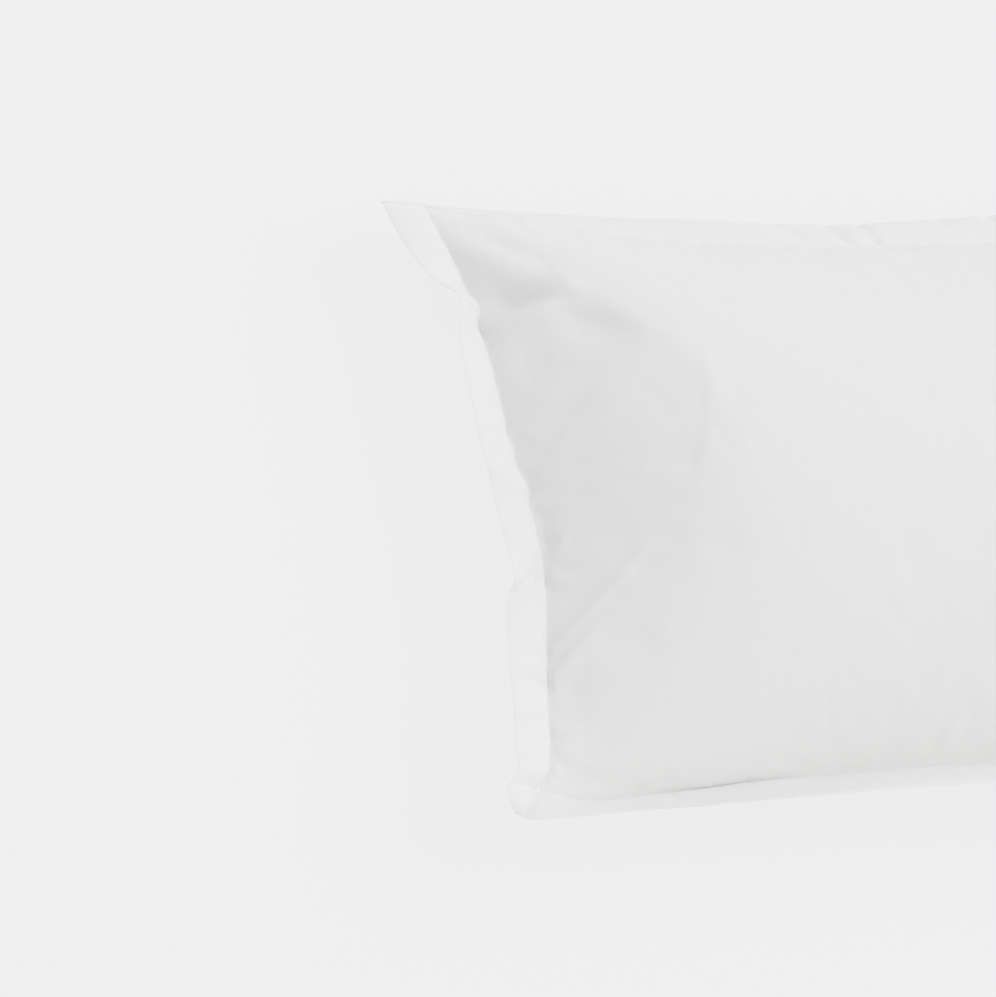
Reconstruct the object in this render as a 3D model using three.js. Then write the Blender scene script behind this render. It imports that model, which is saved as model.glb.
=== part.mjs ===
// A flanged pillow sham with its pillow inside, lying on its back with its face up.
// Front and back panels are sewn together round the outer edge, turned, and stitched again a flange's
// width inside it. The pillow fills the pocket inside that stitch line, so the face is crowned, the four
// sides are drawn in between the corners, and the flange stands out as a thin double border.
// Millimetres, +X along the width, +Y towards the top edge, +Z up out of the face.
import * as THREE from "three";

// The flange.
const FLANGE_WIDTH = 40;
const FLANGE_THICKNESS = 2;
const FLANGE_CURL = -16; // degrees that it bends, from the stitch line to its edge
const FLANGE_CLEARANCE = 6; // of its edge above the floor, at least

// The filled pocket.
const CORNER_SPREAD_X = 744; // between the stitch line's corners, once the fill has drawn them in
const CORNER_SPREAD_Y = 492;
const SEAM_HEIGHT = 80; // of the stitch line above the floor
const FRONT_CROWN = 88; // of the face above the stitch line
const BACK_SAG = 112; // of the back below the stitch line if no floor held it up
const DRAW_IN_FADE = 3; // power by which a side's draw-in dies away inwards
const ROLL_HEIGHT = 12; // over the stitch line, where the face rolls out furthest
const ROLL_FADE = 4; // power by which that roll dies away inwards

// How the face and the back round over towards the stitch line.
const CROWN_POWER = 0.82;
const SUNKEN_POWER = 1.0; // up the lower half of the face, where the fill has sunk
const SQUARENESS = { face: 5.2, sunken: 2.7, back: 3.2, along: 2.3 };
const SUNKEN_BLEND = 0.35; // share of the half width in which the face goes over into its sunken half
const END_SLOPE_ROUNDING = 0.022; // how soft the ridge between the face and its end slopes is
const END_SLOPE_BEND = 0.0018; // per millimetre, so an end slope eases off towards its ridge
const FOLD_FADE_HEIGHT = 16; // below this height over the stitch line the folds die away

// The grid of cells that the cloth is made of.
const POCKET_COLUMNS = 48;
const POCKET_ROWS = 46;
const FLANGE_CELLS = 3;
const EDGE_CROWDING = 0.45; // 0 spaces the pocket's lines evenly, 1 crowds them to the stitch line

// The four corners of the stitch line: how far each is pulled out of the plain rectangle, how high it is
// lifted, how round the flange's corner is there, from 0 (square) to 1 (a quarter circle), the degrees by
// which the long side's flange is laid down there, and the share of its width that is drawn up.
const CORNERS = {
  topLeft: { right: -2, up: 4, lift: -14, rounding: 0, twist: 0, tuck: 0 },
  topRight: { right: 4, up: 0, lift: -16, rounding: 0, twist: 0, tuck: 0 },
  bottomLeft: { right: 7, up: 0, lift: 0, rounding: 1, twist: 34, tuck: 0.25 },
  bottomRight: { right: -2, up: 0, lift: -10, rounding: 0.4, twist: 0, tuck: 0 },
};

// The two ends, from the lower corner (at -1) to the upper one (at 1): how far the stitch line is drawn
// in, the flange's tilt out of the level in degrees (up is positive), and how steeply the flat end slope
// of the face climbs from the stitch line.
const LEFT_SIDE = [
  { at: -1.0, drawIn: -10, tilt: 27, climb: 1.2 },
  { at: -0.98, drawIn: -5.5, tilt: 28, climb: 1.15 },
  { at: -0.955, drawIn: 0, tilt: 28.5, climb: 1.1 },
  { at: -0.92, drawIn: 4, tilt: 25, climb: 1.05 },
  { at: -0.68, drawIn: 15, tilt: 22, climb: 0.87 },
  { at: -0.55, drawIn: 22, tilt: 18, climb: 0.86 },
  { at: -0.37, drawIn: 32, tilt: 18, climb: 0.74 },
  { at: -0.31, drawIn: 34, tilt: 27, climb: 0.737 },
  { at: -0.17, drawIn: 36, tilt: 22, climb: 0.757 },
  { at: 0.0, drawIn: 36, tilt: 20, climb: 0.75 },
  { at: 0.2, drawIn: 31, tilt: 27, climb: 0.713 },
  { at: 0.4, drawIn: 29, tilt: 30, climb: 0.693 },
  { at: 0.52, drawIn: 27, tilt: 36, climb: 0.68 },
  { at: 0.6, drawIn: 24, tilt: 48, climb: 0.68 },
  { at: 0.64, drawIn: 31, tilt: 46, climb: 0.71 },
  { at: 0.69, drawIn: 23, tilt: 32, climb: 0.75 },
  { at: 0.79, drawIn: 17, tilt: 15, climb: 0.92 },
  { at: 0.88, drawIn: 10, tilt: 8, climb: 1.3 },
  { at: 1.0, drawIn: 0, tilt: 9, climb: 2.2 },
];
const RIGHT_SIDE = [
  { at: -1.0, drawIn: 0, tilt: 4, climb: 2.2 },
  { at: -0.6, drawIn: 17, tilt: 14, climb: 1.4 },
  { at: 0.0, drawIn: 31, tilt: 19, climb: 1.0 },
  { at: 0.45, drawIn: 25, tilt: 12, climb: 1.2 },
  { at: 1.0, drawIn: 0, tilt: -4, climb: 2.2 },
];

// The two long sides, from the left corner (at -1) to the right one (at 1): draw-in and tilt as above,
// how far the flange's edge has slid along the side and, below, how far the face rolls out over the stitch
// line and the flange's curl, by which it first runs out under that roll.
const TOP_SIDE = [
  { at: -1.0, drawIn: 0, tilt: -66, slide: 18 },
  { at: -0.8, drawIn: 11, tilt: -56, slide: 8 },
  { at: -0.65, drawIn: 19, tilt: -47, slide: 3 },
  { at: -0.49, drawIn: 26, tilt: -40, slide: 0 },
  { at: -0.33, drawIn: 30, tilt: -35, slide: 0 },
  { at: 0.02, drawIn: 31, tilt: -37, slide: 0 },
  { at: 0.21, drawIn: 29, tilt: -34, slide: 0 },
  { at: 0.41, drawIn: 25, tilt: -30, slide: 0 },
  { at: 0.7, drawIn: 15, tilt: -24, slide: 0 },
  { at: 1.0, drawIn: 0, tilt: -14, slide: 0 },
];
const BOTTOM_SIDE = [
  { at: -1.0, drawIn: 6, tilt: 40, slide: -10, roll: 0, curl: -16 },
  { at: -0.9, drawIn: -4, tilt: 58, slide: -4, roll: 3, curl: -8 },
  { at: -0.78, drawIn: -2.8, tilt: 59, slide: 0, roll: 7, curl: 16 },
  { at: -0.6, drawIn: 2, tilt: 54.5, slide: 0, roll: 9, curl: 30 },
  { at: -0.52, drawIn: 4.6, tilt: 53.3, slide: 0, roll: 8, curl: 24 },
  { at: -0.44, drawIn: 5.8, tilt: 53, slide: 0, roll: 6, curl: 14 },
  { at: -0.34, drawIn: 6.2, tilt: 54, slide: 0, roll: 4, curl: 2 },
  { at: -0.18, drawIn: 9.2, tilt: 53, slide: 0, roll: 2, curl: -8 },
  { at: 0.0, drawIn: 10.5, tilt: 52, slide: 0, roll: 1, curl: -14 },
  { at: 0.12, drawIn: 11.5, tilt: 50, slide: 0, roll: 1, curl: -16 },
  { at: 0.25, drawIn: 12, tilt: 46, slide: 0, roll: 1, curl: -16 },
  { at: 0.6, drawIn: 9, tilt: 36, slide: 0, roll: 1, curl: -16 },
  { at: 1.0, drawIn: 0, tilt: 12, slide: 0, roll: 0, curl: -16 },
];

// The broad folds of the face: the line each one follows, how far its middle bows to the left of that
// line, its half width to the left and to the right, its height (a hollow is negative), and where along it
// that is reached, if not half way.
const FACE_FOLDS = [
  { fromX: -378, fromY: 246, toX: -240, toY: 158, bow: 0, left: 13, right: 9, height: -4, peak: 0.42 },
  { fromX: -378, fromY: 231, toX: -268, toY: 154, bow: 0, left: 9, right: 12, height: 2.4 },
  { fromX: -378, fromY: 157, toX: -285, toY: 167, bow: -1, left: 16, right: 6, height: -12, peak: 0.66 },
  { fromX: -352, fromY: 147, toX: -282, toY: 157, bow: -2, left: 6, right: 14, height: 4 },
  { fromX: -302, fromY: 148, toX: -238, toY: 114, bow: 2, left: 9, right: 22, height: -7 },
  { fromX: -312, fromY: 152, toX: -316, toY: 80, bow: 0, left: 16, right: 16, height: -3 },
  { fromX: -346, fromY: 50, toX: -278, toY: 86, bow: 3, left: 9, right: 6, height: 3 },
  { fromX: -328, fromY: 50, toX: -276, toY: 71, bow: 0, left: 6, right: 10, height: -3 },
  { fromX: -252, fromY: 110, toX: -282, toY: -50, bow: 0, left: 34, right: 20, height: 3.4 },
];

const UP = new THREE.Vector3(0, 0, 1);
const RIGHTWARD = new THREE.Vector3(1, 0, 0);
const TOPWARD = new THREE.Vector3(0, 1, 0);
const { clamp, degToRad, lerp } = THREE.MathUtils;

// A smooth curve through a table's rows, read at any place along the side.
function tableCurve(rows) {
  const columns = Object.keys(rows[0]).filter((name) => name !== "at");
  const places = rows.map((row) => row.at);
  const values = rows.flatMap((row) => columns.map((name) => row[name]));
  const curve = new THREE.CubicInterpolant(places, values, columns.length);
  return (at) => {
    const found = curve.evaluate(at);
    return Object.fromEntries(columns.map((name, i) => [name, found[i]]));
  };
}

const sides = {
  left: { read: tableCurve(LEFT_SIDE), outward: RIGHTWARD.clone().negate(), along: TOPWARD },
  right: { read: tableCurve(RIGHT_SIDE), outward: RIGHTWARD, along: TOPWARD },
  top: { read: tableCurve(TOP_SIDE), outward: TOPWARD, along: RIGHTWARD },
  bottom: { read: tableCurve(BOTTOM_SIDE), outward: TOPWARD.clone().negate(), along: RIGHTWARD },
};

// A corner of the stitch line. u and v are -1 or 1.
function cornerPoint(corner, u, v) {
  return new THREE.Vector3(
    (u * CORNER_SPREAD_X) / 2 + corner.right,
    (v * CORNER_SPREAD_Y) / 2 + corner.up,
    SEAM_HEIGHT + corner.lift,
  );
}

const bottomLeft = cornerPoint(CORNERS.bottomLeft, -1, -1);
const bottomRight = cornerPoint(CORNERS.bottomRight, 1, -1);
const topLeft = cornerPoint(CORNERS.topLeft, -1, 1);
const topRight = cornerPoint(CORNERS.topRight, 1, 1);

// How far a side moves the stitch line from the straight line between its corners. inside runs from 0 on
// that side to 1 on the opposite one.
function sideShift(side, at, inside) {
  const { drawIn } = side.read(at);
  return side.outward.clone().multiplyScalar(-drawIn * (1 - inside) ** DRAW_IN_FADE);
}

// The surface that the stitch line spans. u and v run from -1 to 1 across the pocket.
function seamSurface(u, v) {
  const s = (u + 1) / 2;
  const t = (v + 1) / 2;
  const lower = bottomLeft.clone().lerp(bottomRight, s);
  const upper = topLeft.clone().lerp(topRight, s);
  return lower
    .lerp(upper, t)
    .add(sideShift(sides.left, v, s))
    .add(sideShift(sides.right, v, 1 - s))
    .add(sideShift(sides.bottom, u, t))
    .add(sideShift(sides.top, u, 1 - t));
}

// The corner that a place is nearest to.
function nearestCorner(across, along) {
  const left = along.place > 0 ? CORNERS.topLeft : CORNERS.bottomLeft;
  const right = along.place > 0 ? CORNERS.topRight : CORNERS.bottomRight;
  return across.place > 0 ? right : left;
}

// The way from the stitch line out across the flange, laid down by a twist and drawn up by a tuck. reach
// runs from 0 on the stitch line to 1 at the edge.
function flangeOffset(side, at, reach, twist = 0, tuck = 0) {
  const { tilt, slide = 0, curl = FLANGE_CURL } = side.read(at);
  const angle = degToRad(tilt + (curl * (reach - 1)) / 2 - twist);
  const out = FLANGE_WIDTH * (1 - tuck * reach) * reach;
  return side.outward
    .clone()
    .multiplyScalar(out * Math.cos(angle))
    .addScaledVector(UP, out * Math.sin(angle))
    .addScaledVector(side.along, slide * reach);
}

// The share of the flange's width that a rounded corner leaves at a place in it.
function cornerShare(across, along) {
  if (across.reach === 0 || along.reach === 0) {
    return 1;
  }
  const { rounding } = nearestCorner(across, along);
  const square = Math.max(across.reach, along.reach);
  return lerp(1, square / Math.hypot(across.reach, along.reach), rounding);
}

// The middle of the cloth: inside the pocket the stitch line's surface, outside it the flange.
function clothMiddle(across, along) {
  const point = seamSurface(across.place, along.place);
  const share = cornerShare(across, along);
  if (across.reach > 0) {
    const side = across.place > 0 ? sides.right : sides.left;
    point.add(flangeOffset(side, along.place, across.reach * share));
  }
  if (along.reach > 0) {
    const side = along.place > 0 ? sides.top : sides.bottom;
    const { twist, tuck } = nearestCorner(across, along);
    const reach = along.reach * share;
    point.add(flangeOffset(side, across.place, reach, twist * across.reach, tuck * across.reach));
  }
  return point;
}

// A pillow's rounding: 1 in the middle of the pocket, 0 on the stitch line.
function crown(u, v, squareness, power) {
  const acrossShare = Math.max(1 - Math.abs(u) ** squareness, 0);
  const alongShare = Math.max(1 - Math.abs(v) ** SQUARENESS.along, 0);
  return acrossShare ** CROWN_POWER * alongShare ** power;
}

// The height of the face's dome, which is flatter down its lower half.
function faceDome(u, v) {
  const upper = (1 + Math.tanh(v / SUNKEN_BLEND)) / 2;
  const squareness = lerp(SQUARENESS.sunken, SQUARENESS.face, upper);
  return FRONT_CROWN * crown(u, v, squareness, lerp(SUNKEN_POWER, CROWN_POWER, upper));
}

// The lower of two heights, with the ridge where they cross rounded off.
function softLower(a, b) {
  const rounding = END_SLOPE_ROUNDING * (a + b);
  if (rounding <= 0) {
    return Math.min(a, b);
  }
  const share = clamp(0.5 + (b - a) / (2 * rounding), 0, 1);
  return lerp(b, a, share) - rounding * share * (1 - share);
}

// A fold's height at a place on the face: full at its peak, none at its ends and past its width.
function foldHeight(fold, x, y) {
  const runX = fold.toX - fold.fromX;
  const runY = fold.toY - fold.fromY;
  const length = Math.hypot(runX, runY);
  const along = ((x - fold.fromX) * runX + (y - fold.fromY) * runY) / length ** 2;
  if (along <= 0 || along >= 1) {
    return 0;
  }
  const sideways = ((y - fold.fromY) * runX - (x - fold.fromX) * runY) / length;
  const offLine = sideways - 4 * fold.bow * along * (1 - along);
  const width = offLine > 0 ? fold.left : fold.right;
  const { peak = 0.5 } = fold;
  const rise = Math.sin(Math.PI * along ** (Math.log(0.5) / Math.log(peak)));
  return fold.height * rise * Math.exp(-((offLine / width) ** 2));
}

// The height of the flat slope that climbs from an end's stitch line.
function endSlope(side, v, fromEnd) {
  return (side.read(v).climb * fromEnd) / (1 + END_SLOPE_BEND * fromEnd);
}

// How far the face rolls out over the lower stitch line, at a place that is so high above it.
function faceRoll(u, v, height) {
  const share = (height / ROLL_HEIGHT) * Math.exp(1 - height / ROLL_HEIGHT);
  return sides.bottom.read(u).roll * share * ((1 - v) / 2) ** ROLL_FADE;
}

// The face's height above the stitch line's surface.
function faceHeight(u, v) {
  const point = seamSurface(u, v);
  const fromLeft = point.x - seamSurface(-1, v).x;
  const fromRight = seamSurface(1, v).x - point.x;
  const slopes = softLower(endSlope(sides.left, v, fromLeft), endSlope(sides.right, v, fromRight));
  const height = softLower(faceDome(u, v), slopes);
  const folds = FACE_FOLDS.reduce((sum, fold) => sum + foldHeight(fold, point.x, point.y), 0);
  return Math.max(height + folds * Math.min(1, height / FOLD_FADE_HEIGHT), 0);
}

// Where a grid line lies: its place in the pocket from -1 to 1, and its reach across the flange.
function gridLine(index, pocketLines) {
  const inPocket = clamp(index - FLANGE_CELLS, 0, pocketLines);
  const even = (2 * inPocket) / pocketLines - 1;
  const place = lerp(even, Math.sin((even * Math.PI) / 2), EDGE_CROWDING);
  const reach = Math.abs(index - FLANGE_CELLS - inPocket) / FLANGE_CELLS;
  return { place, reach };
}

const COLUMNS = POCKET_COLUMNS + 2 * FLANGE_CELLS;
const ROWS = POCKET_ROWS + 2 * FLANGE_CELLS;

function gridPoint(column, row) {
  const across = gridLine(clamp(column, 0, COLUMNS), POCKET_COLUMNS);
  const along = gridLine(clamp(row, 0, ROWS), POCKET_ROWS);
  return clothMiddle(across, along);
}

// The cloth's own direction out of its face at a grid point, from its neighbours.
function clothNormal(column, row) {
  const acrossRun = gridPoint(column + 1, row).sub(gridPoint(column - 1, row));
  const alongRun = gridPoint(column, row + 1).sub(gridPoint(column, row - 1));
  return acrossRun.cross(alongRun).normalize();
}

// A point of the sham's face (layer 1) or back (layer -1).
function shamPoint(column, row, layer) {
  const across = gridLine(column, POCKET_COLUMNS);
  const along = gridLine(row, POCKET_ROWS);
  const point = clothMiddle(across, along);
  point.addScaledVector(clothNormal(column, row), (layer * FLANGE_THICKNESS) / 2);
  if (across.reach > 0 || along.reach > 0) {
    point.z = Math.max(point.z, FLANGE_CLEARANCE + layer);
  } else if (layer > 0) {
    const height = faceHeight(across.place, along.place);
    point.z += height;
    point.addScaledVector(sides.bottom.outward, faceRoll(across.place, along.place, height));
  } else {
    const sag = BACK_SAG * crown(across.place, along.place, SQUARENESS.back, CROWN_POWER);
    point.z = Math.max(point.z - sag, 0);
  }
  return point;
}

// A box whose cells are counted out like the cloth's grid becomes the filled sham, point by point.
function shamGeometry() {
  const geometry = new THREE.BoxGeometry(COLUMNS, ROWS, 1, COLUMNS, ROWS, 1);
  const position = geometry.getAttribute("position");
  for (let i = 0; i < position.count; i += 1) {
    const column = Math.round(position.getX(i) + COLUMNS / 2);
    const row = Math.round(position.getY(i) + ROWS / 2);
    const point = shamPoint(column, row, Math.sign(position.getZ(i)));
    position.setXYZ(i, point.x, point.y, point.z);
  }
  // The origin is on the floor, under the middle of the sham's outline.
  geometry.computeBoundingBox();
  const centre = geometry.boundingBox.getCenter(new THREE.Vector3());
  geometry.translate(-centre.x, -centre.y, -geometry.boundingBox.min.z);
  geometry.computeVertexNormals();
  return geometry;
}

const percale = new THREE.MeshStandardMaterial({ color: 0xf0f0ef, roughness: 0.92, metalness: 0 });

const sham = new THREE.Mesh(shamGeometry(), percale);
sham.name = "sham";

const part = new THREE.Group();
part.add(sham);

export default part;
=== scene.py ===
"""A filled white percale pillow sham with a stitched flange, lying on its back in a plain studio.

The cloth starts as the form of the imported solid, swells in a cloth simulation, and then gets its creases.
Metres, +X along the width, +Y towards the top edge, +Z up out of the face. The tables are in millimetres.
"""

import math
import random
from collections import namedtuple

import bmesh
import bpy
import numpy as np
from bpy.props import FloatProperty, FloatVectorProperty, PointerProperty
from mathutils import Matrix, Vector


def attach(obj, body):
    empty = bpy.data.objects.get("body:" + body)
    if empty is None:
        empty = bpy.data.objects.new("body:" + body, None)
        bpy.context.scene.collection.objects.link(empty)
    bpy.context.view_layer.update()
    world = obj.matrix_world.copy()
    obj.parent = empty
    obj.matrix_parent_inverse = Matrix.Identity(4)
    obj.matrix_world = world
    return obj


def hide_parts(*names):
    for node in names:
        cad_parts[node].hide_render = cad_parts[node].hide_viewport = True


bl_info = {
    "name": "Flanged pillow sham",
    "version": (1, 0, 0),
    "blender": (4, 5, 0),
    "location": "3D View > Sidebar > Sham",
    "description": "A filled percale pillow sham with a stitched flange, and the studio that it lies in",
    "category": "Object",
}

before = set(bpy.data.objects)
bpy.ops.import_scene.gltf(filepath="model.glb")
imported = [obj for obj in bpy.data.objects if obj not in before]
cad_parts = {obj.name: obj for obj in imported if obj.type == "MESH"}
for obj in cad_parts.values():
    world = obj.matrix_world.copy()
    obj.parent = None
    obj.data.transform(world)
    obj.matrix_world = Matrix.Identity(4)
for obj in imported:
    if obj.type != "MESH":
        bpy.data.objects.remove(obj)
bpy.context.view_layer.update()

MM = 0.001
TINY = 1e-9  # keeps a length from being nought
BODY = "root"
SOLID = "sham"

# The grid of cells that the cloth is made of.
POCKET_COLUMNS = 112
POCKET_ROWS = 76
EDGE_CROWDING = 0.4  # 0 spaces the pocket's lines evenly, 1 crowds them to the stitch line
FLANGE_LINES = (0.1, 0.26, 0.46, 0.68, 0.88, 0.97, 1.0)  # shares of the flange's width

# How the face and the back round over towards the stitch line. A lower power rises more steeply from it,
# and a higher squareness stays level nearer to it.
CROWN_POWER = 0.82
CROWN_POWER_LOW = 1.0  # down the lower half of the face
CROWN_SQUARENESS_ACROSS = 5.2
BACK_SQUARENESS_ACROSS = 3.2
CROWN_SQUARENESS_LOW = 2.7  # across the lower half of the face, where the fill has sunk
CROWN_SQUARENESS_ALONG = 2.3
CROWN_BLEND = 0.35  # share of the half width, over which the face's two halves blend
END_SLOPE_ROUNDING = 0.022  # of the ridge where it meets the dome, as a share of their heights
END_SLOPE_BEND = 1.8  # per metre, so the end slope eases off towards its ridge
DRAW_IN_FADE = 3  # the power by which a side's draw-in fades across the pocket
FOLD_FADE_HEIGHT = 16 * MM  # above the stitch line, where a fold of the face is whole
FLANGE_CURL = -16  # degrees that it bends, from the stitch line to its edge
FLANGE_CLEARANCE = 6 * MM  # above the floor, at least
RIM_START = 0.86  # share of the flange's width where its folded edge starts to thin
RIM_TAPER = 0.85  # share of its thickness that it loses there
RIM_SHARP = 0.995  # reach past which an edge of the mesh lies on the rim
ROLL_HEIGHT = 12 * MM  # above the stitch line, where the face rolls out furthest
ROLL_FADE = 4  # the power by which that fades up the face

# The four corners of the stitch line: how far each is pulled out of the plain rectangle, how high it is
# lifted, how round the flange's corner is there, from 0 (square) to 1 (a quarter circle), by how many
# degrees the flange of the long side is laid down there, and what share of its width is tucked in.
Corner = namedtuple("Corner", "right up lift rounding twist tuck", defaults=(0, 0))
TOP_LEFT = Corner(right=-2, up=4, lift=-14, rounding=0.0)
TOP_RIGHT = Corner(right=4, up=0, lift=-16, rounding=0.0)
BOTTOM_LEFT = Corner(right=7, up=0, lift=0, rounding=1.0, twist=34, tuck=0.25)
BOTTOM_RIGHT = Corner(right=-2, up=0, lift=-10, rounding=0.4)

# The two ends, from the lower corner (at -1) to the upper one (at 1): how far the stitch line is drawn in,
# the flange's tilt out of the level in degrees, how steeply the flat end slope of the face climbs, and the
# flange's slide and curl, which the long sides explain.
EndRow = namedtuple("EndRow", "at draw_in tilt climb slide curl", defaults=(0, FLANGE_CURL))
LEFT_SIDE = (
    EndRow(at=-1.0, draw_in=-10, tilt=27, climb=1.2),
    EndRow(at=-0.98, draw_in=-5.5, tilt=28, climb=1.15),
    EndRow(at=-0.955, draw_in=0, tilt=28.5, climb=1.1),
    EndRow(at=-0.92, draw_in=4, tilt=25, climb=1.05),
    EndRow(at=-0.68, draw_in=15, tilt=22, climb=0.87),
    EndRow(at=-0.55, draw_in=22, tilt=18, climb=0.86),
    EndRow(at=-0.37, draw_in=32, tilt=18, climb=0.74),
    EndRow(at=-0.31, draw_in=34, tilt=27, climb=0.737),
    EndRow(at=-0.17, draw_in=36, tilt=22, climb=0.757),
    EndRow(at=0.0, draw_in=36, tilt=20, climb=0.75),
    EndRow(at=0.2, draw_in=31, tilt=27, climb=0.713),
    EndRow(at=0.4, draw_in=29, tilt=30, climb=0.693),
    EndRow(at=0.52, draw_in=27, tilt=36, climb=0.68),
    EndRow(at=0.6, draw_in=24, tilt=48, climb=0.68),
    EndRow(at=0.64, draw_in=31, tilt=46, climb=0.71),
    EndRow(at=0.69, draw_in=23, tilt=32, climb=0.75),
    EndRow(at=0.79, draw_in=17, tilt=15, climb=0.92),
    EndRow(at=0.88, draw_in=10, tilt=8, climb=1.3),
    EndRow(at=1.0, draw_in=0, tilt=9, climb=2.2),
)
RIGHT_SIDE = (
    EndRow(at=-1.0, draw_in=0, tilt=4, climb=2.2),
    EndRow(at=-0.6, draw_in=17, tilt=14, climb=1.4),
    EndRow(at=0.0, draw_in=31, tilt=19, climb=1.0),
    EndRow(at=0.45, draw_in=25, tilt=12, climb=1.2),
    EndRow(at=1.0, draw_in=0, tilt=-4, climb=2.2),
)

# The two long sides, from the left corner (at -1) to the right one (at 1): draw-in and tilt as above, how
# far the flange's edge has slid along the side, how far the face rolls out over the stitch line, and the
# flange's curl, by which it first runs out under that roll.
LongRow = namedtuple("LongRow", "at draw_in tilt slide roll curl", defaults=(0, 0, FLANGE_CURL))
TOP_SIDE = (
    LongRow(at=-1.0, draw_in=0, tilt=-66, slide=18),
    LongRow(at=-0.8, draw_in=11, tilt=-56, slide=8),
    LongRow(at=-0.65, draw_in=19, tilt=-47, slide=3),
    LongRow(at=-0.49, draw_in=26, tilt=-40),
    LongRow(at=-0.33, draw_in=30, tilt=-35),
    LongRow(at=0.02, draw_in=31, tilt=-37),
    LongRow(at=0.21, draw_in=29, tilt=-34),
    LongRow(at=0.41, draw_in=25, tilt=-30),
    LongRow(at=0.7, draw_in=15, tilt=-24),
    LongRow(at=1.0, draw_in=0, tilt=-14),
)
BOTTOM_SIDE = (
    LongRow(at=-1.0, draw_in=6, tilt=40, slide=-10),
    LongRow(at=-0.9, draw_in=-4, tilt=58, slide=-4, roll=3, curl=-8),
    LongRow(at=-0.78, draw_in=-2.8, tilt=59, roll=7, curl=16),
    LongRow(at=-0.6, draw_in=2, tilt=54.5, roll=9, curl=30),
    LongRow(at=-0.52, draw_in=4.6, tilt=53.3, roll=8, curl=24),
    LongRow(at=-0.44, draw_in=5.8, tilt=53, roll=6, curl=14),
    LongRow(at=-0.34, draw_in=6.2, tilt=54, roll=4, curl=2),
    LongRow(at=-0.18, draw_in=9.2, tilt=53, roll=2, curl=-8),
    LongRow(at=0.0, draw_in=10.5, tilt=52, roll=1, curl=-14),
    LongRow(at=0.12, draw_in=11.5, tilt=50, roll=1),
    LongRow(at=0.25, draw_in=12, tilt=46, roll=1),
    LongRow(at=0.6, draw_in=9, tilt=36, roll=1),
    LongRow(at=1.0, draw_in=0, tilt=12),
)

# Where the lower flange's edge is drawn up: the place along it, the half width to either side, the depth.
Nip = namedtuple("Nip", "at_x left right depth")
EDGE_NIPS = (
    Nip(at_x=-299, left=6, right=6, depth=2.4),
    Nip(at_x=-233, left=9, right=11, depth=4),
    Nip(at_x=2, left=13, right=9, depth=3),
)

# Folds and creases: where each one starts and ends, its half width to the left and to the right of that
# line, its height (a hollow is negative), how far its middle bows to the left, and where along it that
# height is reached. Those of the face are placed as seen from above, those of the flange on the flat
# pattern.
Fold = namedtuple("Fold", "start end left right height bow peak", defaults=(0, 0.5))
FACE_FOLDS = (
    Fold(start=(-378, 246), end=(-240, 158), left=13, right=9, height=-4, peak=0.42),
    Fold(start=(-378, 231), end=(-268, 154), left=9, right=12, height=2.4),
    Fold(start=(-378, 157), end=(-285, 167), left=16, right=6, height=-12, bow=-1, peak=0.66),
    Fold(start=(-352, 147), end=(-282, 157), left=6, right=14, height=4, bow=-2),
    Fold(start=(-302, 148), end=(-238, 114), left=9, right=22, height=-7, bow=2),
    Fold(start=(-312, 152), end=(-316, 80), left=16, right=16, height=-3),
    Fold(start=(-346, 50), end=(-278, 86), left=9, right=6, height=3, bow=3),
    Fold(start=(-328, 50), end=(-276, 71), left=6, right=10, height=-3),
    Fold(start=(-252, 110), end=(-282, -50), left=34, right=20, height=3.4),
)
FACE_CREASES = (
    Fold(start=(-356, -141), end=(-238, -33), left=5.5, right=4.5, height=2.6, bow=-3, peak=0.35),
    Fold(start=(-354, -150), end=(-270, -74), left=4, right=4, height=-0.9, peak=0.35),
    Fold(start=(-360, -165), end=(-288, -94), left=6, right=8, height=2.4, peak=0.35),
    Fold(start=(-194, 102), end=(-230, -30), left=12, right=5, height=1.3, bow=7),
    Fold(start=(-329, -10), end=(-329, -62), left=5, right=5, height=-1.6),
    Fold(start=(-332, 17), end=(-288, 53), left=5, right=5, height=1.8),
    Fold(start=(-352, 144), end=(-328, 140), left=5, right=5, height=1.8),
    Fold(start=(-344, 52), end=(-324, 44), left=4, right=4, height=-1.6),
    Fold(start=(-342, 20), end=(-324, 13), left=4, right=4, height=-1.4),
    Fold(start=(-341, -8), end=(-320, -22), left=4, right=4, height=-1.6),
    Fold(start=(-339, -38), end=(-318, -44), left=4, right=4, height=-1.4, bow=3),
    Fold(start=(-334, -52), end=(-316, -36), left=4, right=4, height=1.6, bow=-4),
    Fold(start=(-340, -63), end=(-314, -78), left=4.5, right=5, height=2.4),
    Fold(start=(-330, -146), end=(-338, -190), left=14, right=10, height=-1.2),
    Fold(start=(-364, -190), end=(-332, -196), left=3, right=9, height=1.4),
    Fold(start=(-344, -188), end=(-350, -234), left=18, right=14, height=1.2),
    Fold(start=(-376, -213), end=(-350, -231), left=3, right=11, height=1.8),
    Fold(start=(-38, 217), end=(-12, 199), left=4, right=5, height=-1.8),
    Fold(start=(46, 215), end=(112, 213), left=3, right=5, height=1.2),
    Fold(start=(-224, -52), end=(-190, -88), left=15, right=15, height=-1.6),
    Fold(start=(-296, -114), end=(-270, -154), left=14, right=16, height=-1.6),
    Fold(start=(-128, -180), end=(-124, -212), left=3, right=4, height=-0.5),
    Fold(start=(-62, -172), end=(-70, -214), left=3, right=4, height=-0.6),
    Fold(start=(-8, -178), end=(-34, -236), left=2.5, right=4, height=-0.8, bow=4),
    Fold(start=(2, -184), end=(-24, -238), left=2.5, right=3, height=0.7, bow=4),
    Fold(start=(18, -188), end=(-14, -236), left=3, right=4, height=-0.7, bow=3),
    Fold(start=(30, -196), end=(4, -238), left=3, right=4, height=-0.6, bow=2),
)
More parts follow.
